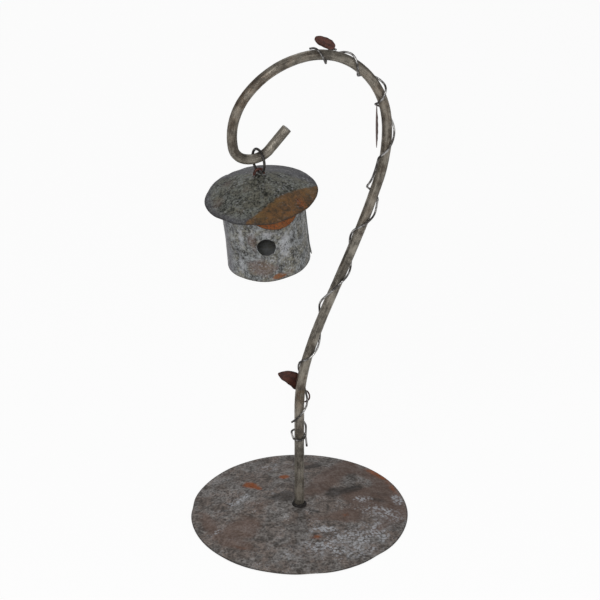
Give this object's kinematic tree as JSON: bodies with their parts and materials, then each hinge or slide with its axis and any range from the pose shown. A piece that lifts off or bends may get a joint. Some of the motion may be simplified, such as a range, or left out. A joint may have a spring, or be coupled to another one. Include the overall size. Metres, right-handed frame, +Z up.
{
  "type": "hanging birdhouse ornament on crook stand",
  "caption": "Tin birdhouse with a cone roof that swings from a wire ring on a bent bar crook, standing on a domed disc, with a wire vine and tin leaves.",
  "frame": {"origin": "middle of the disc's resting face on the table", "axes": "+Z up; the crook's plane is XZ, its belly bends towards +X and the birdhouse hangs on the -X side; the entrance hole faces -Y"},
  "size_m": [0.1778, 0.1778, 0.4198],
  "materials": {
    "base_tin": "matt weathered galvanised sheet, mottled grey with white zinc bloom and brown rust",
    "weld": "rough dark weld bead with rust",
    "crook_steel": "weathered grey-brown bar, satin where handled",
    "vine": "dull galvanised wire with bright rubbed spots",
    "leaf_stem": "rusty iron wire",
    "leaf_tin": "red-brown rusted tin with dark edges",
    "ring_wire": "dark blackened wire",
    "eye_wire": "red-brown rusty wire",
    "solder": "dull grey solder",
    "roof_tin": "mottled grey-green galvanised tin with an orange rust patch",
    "rusted_tin": "orange-brown rusted tin",
    "wall_tin": "pale mottled galvanised tin, bluish grey with brown stains"
  },
  "bodies": {
    "stand": {"base_disc": "base_tin", "foot_weld": "weld", "under_weld": "weld", "crook_rod": "crook_steel", "vine_wire": "vine", "top_tie_wire": "vine", "lower_tie_wire": "vine", "low_leaf_stem": "leaf_stem", "leaf_low": "leaf_tin", "leaf_middle": "leaf_tin", "leaf_top": "leaf_tin"},
    "ring": {"hanger_ring": "ring_wire"},
    "birdhouse": {"roof_eye": "eye_wire", "eye_solder": "solder", "roof_cone": "roof_tin", "brim_under_sheet": "rusted_tin", "wall_shell": "wall_tin", "seam_solder": "solder", "floor_pan": "wall_tin", "floor_solder": "solder", "roof_solder": "solder"}
  },
  "joints": [
    {"name": "ring_swing", "type": "hinge", "parent": "stand", "child": "ring", "pos_m": [-0.0322, 0, 0.3271], "axis": [0.9744, 0.225, 0], "range_deg": [-50, 50]},
    {"name": "birdhouse_swing", "type": "hinge", "parent": "ring", "child": "birdhouse", "pos_m": [-0.0322, 0, 0.31465], "axis": [-0.225, 0.9744, 0], "range_deg": [-40, 40]}
  ]
}
